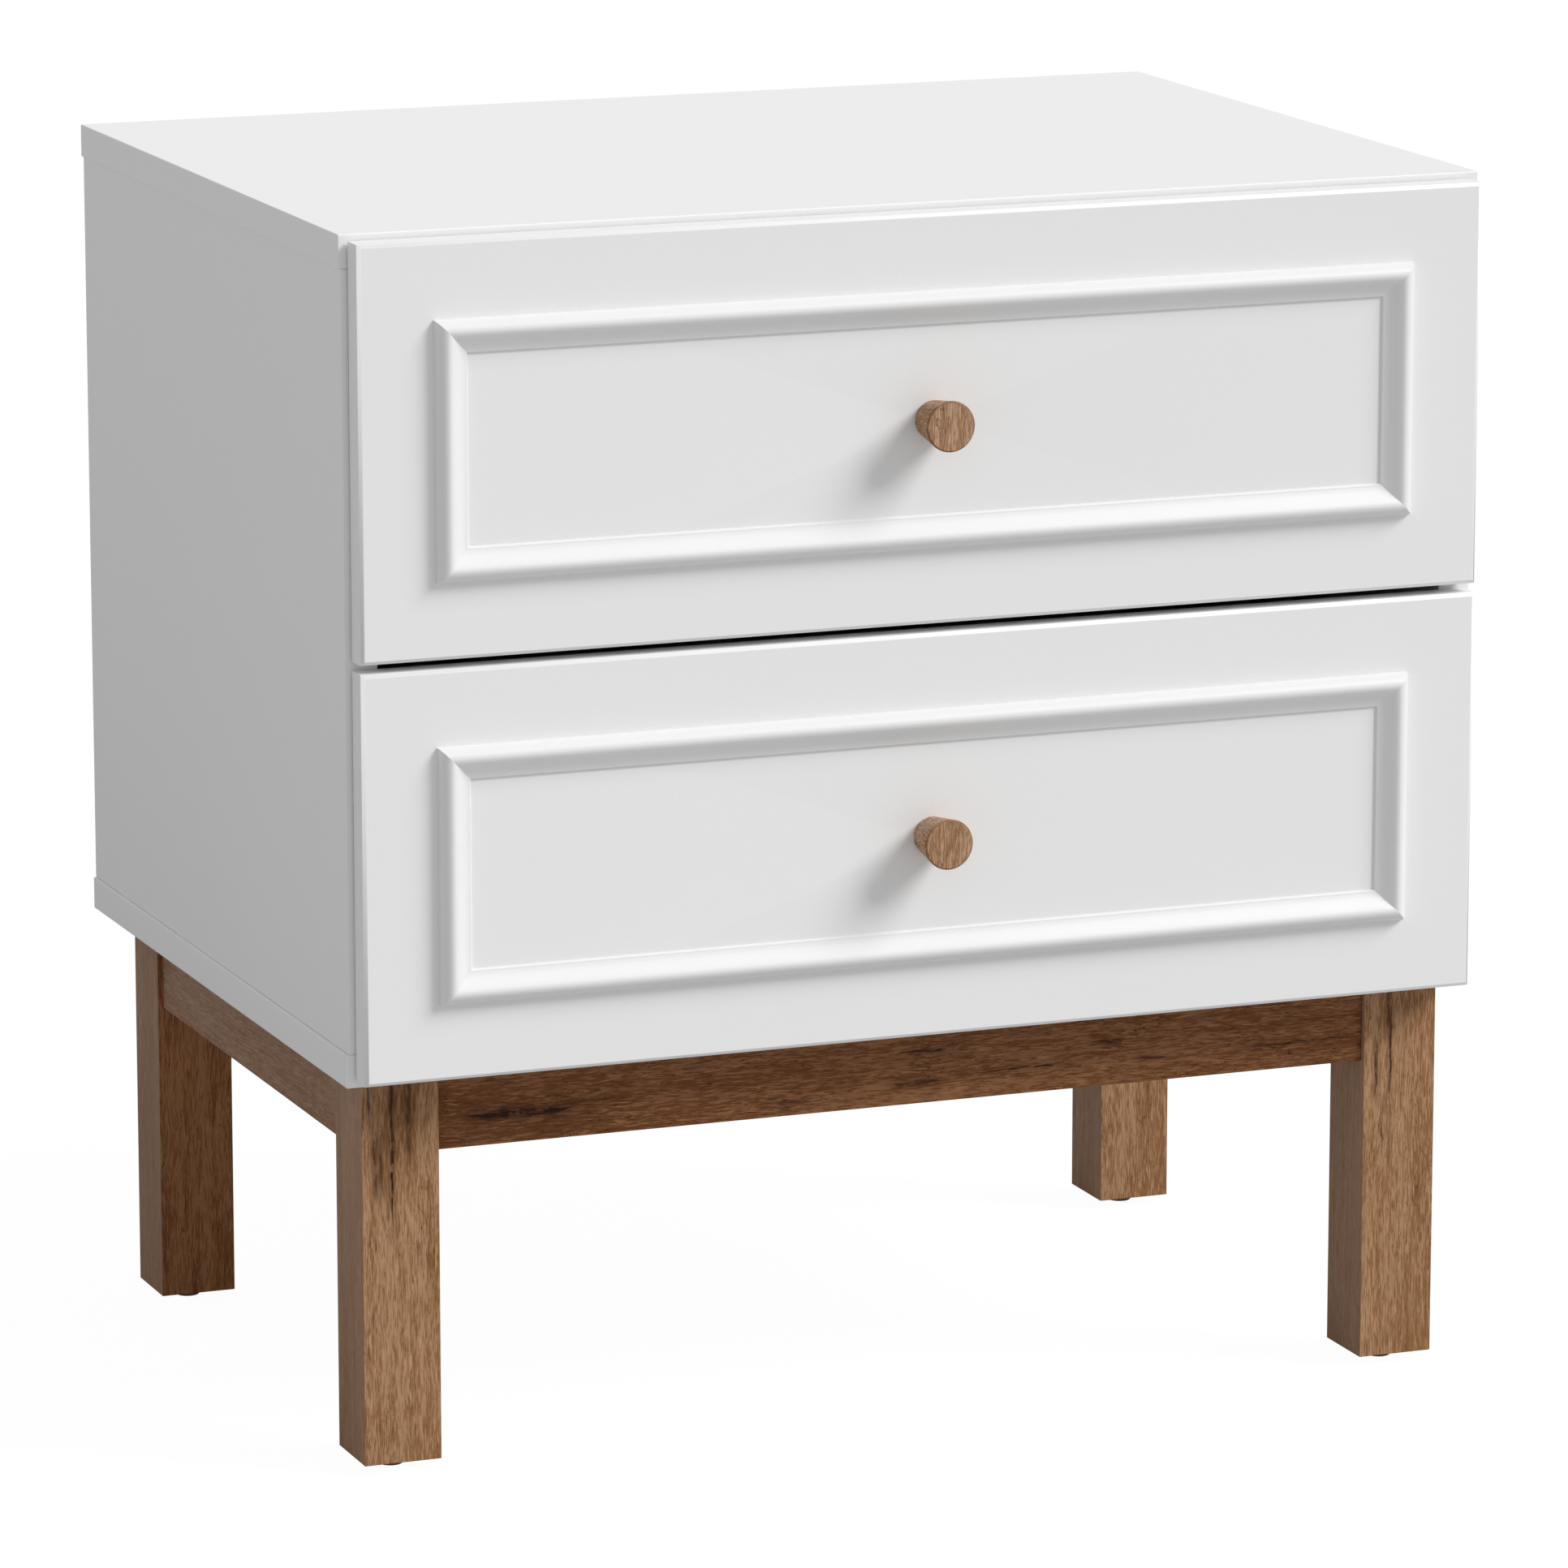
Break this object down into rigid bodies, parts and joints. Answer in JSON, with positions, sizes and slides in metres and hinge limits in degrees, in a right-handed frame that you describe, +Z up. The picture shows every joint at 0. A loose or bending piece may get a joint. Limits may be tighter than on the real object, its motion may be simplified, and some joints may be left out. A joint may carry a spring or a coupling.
{
  "type": "nightstand with drawers",
  "caption": "White lacquered nightstand with panelled, moulding-trimmed drawers on roller runners, round wooden knobs and a brown wooden leg frame.",
  "frame": {"origin": "middle of the whole object's footprint, knobs included, on the floor", "axes": "X is the width, with the right side, seen from the front, at +X; +Y points to the back, so the drawers open towards -Y; +Z is up"},
  "size_m": [0.57, 0.4384, 0.587],
  "materials": {
    "brown_wood": "stained oak-look grain with open pores and dark cracks",
    "dowel_wood": "plain beech",
    "drawer_board": "white melamine foil on 12 mm board",
    "glide_plastic": "moulded brown plastic",
    "hardboard": "white painted hardboard",
    "knob_wood": "stained oak-look turned wood",
    "nylon": "moulded nylon",
    "runner_steel": "white epoxy-coated steel",
    "white_lacquer": "smooth white satin lacquer on board",
    "zinc_casting": "die-cast zinc",
    "zinc_steel": "zinc-plated steel"
  },
  "bodies": {
    "cabinet": {"top_panel": "white_lacquer", "bottom_panel": "white_lacquer", "left_side_panel": "white_lacquer", "right_side_panel": "white_lacquer", "back_panel": "hardboard", "dowels": "dowel_wood", "cam_bolts": "zinc_steel", "cam_locks": "zinc_casting", "front_left_leg": "brown_wood", "front_right_leg": "brown_wood", "back_left_leg": "brown_wood", "back_right_leg": "brown_wood", "front_rail": "brown_wood", "back_rail": "brown_wood", "left_rail": "brown_wood", "right_rail": "brown_wood", "base_screws": "zinc_steel", "glides": "glide_plastic", "upper_left_cabinet_runner": "runner_steel", "upper_right_cabinet_runner": "runner_steel", "lower_left_cabinet_runner": "runner_steel", "lower_right_cabinet_runner": "runner_steel", "cabinet_runner_screws": "zinc_steel"},
    "upper_drawer": {"upper_drawer_front": "white_lacquer", "upper_moulding_rails": "white_lacquer", "upper_moulding_stiles": "white_lacquer", "upper_left_drawer_side": "drawer_board", "upper_right_drawer_side": "drawer_board", "upper_drawer_back": "drawer_board", "upper_drawer_bottom": "hardboard", "upper_knob": "knob_wood", "upper_knob_screw": "zinc_steel", "upper_left_drawer_runner": "runner_steel", "upper_right_drawer_runner": "runner_steel", "upper_drawer_runner_screws": "zinc_steel", "upper_drawer_cam_bolts": "zinc_steel", "upper_drawer_cam_locks": "zinc_casting"},
    "lower_drawer": {"lower_drawer_front": "white_lacquer", "lower_moulding_rails": "white_lacquer", "lower_moulding_stiles": "white_lacquer", "lower_left_drawer_side": "drawer_board", "lower_right_drawer_side": "drawer_board", "lower_drawer_back": "drawer_board", "lower_drawer_bottom": "hardboard", "lower_knob": "knob_wood", "lower_knob_screw": "zinc_steel", "lower_left_drawer_runner": "runner_steel", "lower_right_drawer_runner": "runner_steel", "lower_drawer_runner_screws": "zinc_steel", "lower_drawer_cam_bolts": "zinc_steel", "lower_drawer_cam_locks": "zinc_casting"},
    "upper_left_cabinet_roller_wheel": {"upper_left_cabinet_roller": "nylon"},
    "upper_right_cabinet_roller_wheel": {"upper_right_cabinet_roller": "nylon"},
    "lower_left_cabinet_roller_wheel": {"lower_left_cabinet_roller": "nylon"},
    "lower_right_cabinet_roller_wheel": {"lower_right_cabinet_roller": "nylon"},
    "upper_left_drawer_roller_wheel": {"upper_left_drawer_roller": "nylon"},
    "upper_right_drawer_roller_wheel": {"upper_right_drawer_roller": "nylon"},
    "lower_left_drawer_roller_wheel": {"lower_left_drawer_roller": "nylon"},
    "lower_right_drawer_roller_wheel": {"lower_right_drawer_roller": "nylon"}
  },
  "joints": [
    {"name": "upper_drawer_slide", "type": "slide", "parent": "cabinet", "child": "upper_drawer", "axis": [0, -1, 0], "range_m": [0, 0.26]},
    {"name": "lower_drawer_slide", "type": "slide", "parent": "cabinet", "child": "lower_drawer", "axis": [0, -1, 0], "range_m": [0, 0.26]},
    {"name": "upper_left_cabinet_roller_spin", "type": "hinge", "parent": "cabinet", "child": "upper_left_cabinet_roller_wheel", "pos_m": [-0.2621, -0.16785, 0.42295], "axis": [1, 0, 0], "range_deg": [0, 1864]},
    {"name": "upper_right_cabinet_roller_spin", "type": "hinge", "parent": "cabinet", "child": "upper_right_cabinet_roller_wheel", "pos_m": [0.2621, -0.16785, 0.42295], "axis": [1, 0, 0], "range_deg": [0, 1864]},
    {"name": "lower_left_cabinet_roller_spin", "type": "hinge", "parent": "cabinet", "child": "lower_left_cabinet_roller_wheel", "pos_m": [-0.2621, -0.16785, 0.2255], "axis": [1, 0, 0], "range_deg": [0, 1864]},
    {"name": "lower_right_cabinet_roller_spin", "type": "hinge", "parent": "cabinet", "child": "lower_right_cabinet_roller_wheel", "pos_m": [0.2621, -0.16785, 0.2255], "axis": [1, 0, 0], "range_deg": [0, 1864]},
    {"name": "upper_left_drawer_roller_spin", "type": "hinge", "parent": "upper_drawer", "child": "upper_left_drawer_roller_wheel", "pos_m": [-0.261, 0.15385, 0.42295], "axis": [1, 0, 0], "range_deg": [0, 1864]},
    {"name": "upper_right_drawer_roller_spin", "type": "hinge", "parent": "upper_drawer", "child": "upper_right_drawer_roller_wheel", "pos_m": [0.261, 0.15385, 0.42295], "axis": [1, 0, 0], "range_deg": [0, 1864]},
    {"name": "lower_left_drawer_roller_spin", "type": "hinge", "parent": "lower_drawer", "child": "lower_left_drawer_roller_wheel", "pos_m": [-0.261, 0.15385, 0.2255], "axis": [1, 0, 0], "range_deg": [0, 1864]},
    {"name": "lower_right_drawer_roller_spin", "type": "hinge", "parent": "lower_drawer", "child": "lower_right_drawer_roller_wheel", "pos_m": [0.261, 0.15385, 0.2255], "axis": [1, 0, 0], "range_deg": [0, 1864]}
  ],
  "couplings": [
    {"joint": "upper_left_cabinet_roller_spin", "follows": "upper_drawer_slide", "rad_per_m": 125},
    {"joint": "upper_right_cabinet_roller_spin", "follows": "upper_drawer_slide", "rad_per_m": 125},
    {"joint": "lower_left_cabinet_roller_spin", "follows": "lower_drawer_slide", "rad_per_m": 125},
    {"joint": "lower_right_cabinet_roller_spin", "follows": "lower_drawer_slide", "rad_per_m": 125},
    {"joint": "upper_left_drawer_roller_spin", "follows": "upper_drawer_slide", "rad_per_m": 125},
    {"joint": "upper_right_drawer_roller_spin", "follows": "upper_drawer_slide", "rad_per_m": 125},
    {"joint": "lower_left_drawer_roller_spin", "follows": "lower_drawer_slide", "rad_per_m": 125},
    {"joint": "lower_right_drawer_roller_spin", "follows": "lower_drawer_slide", "rad_per_m": 125}
  ]
}
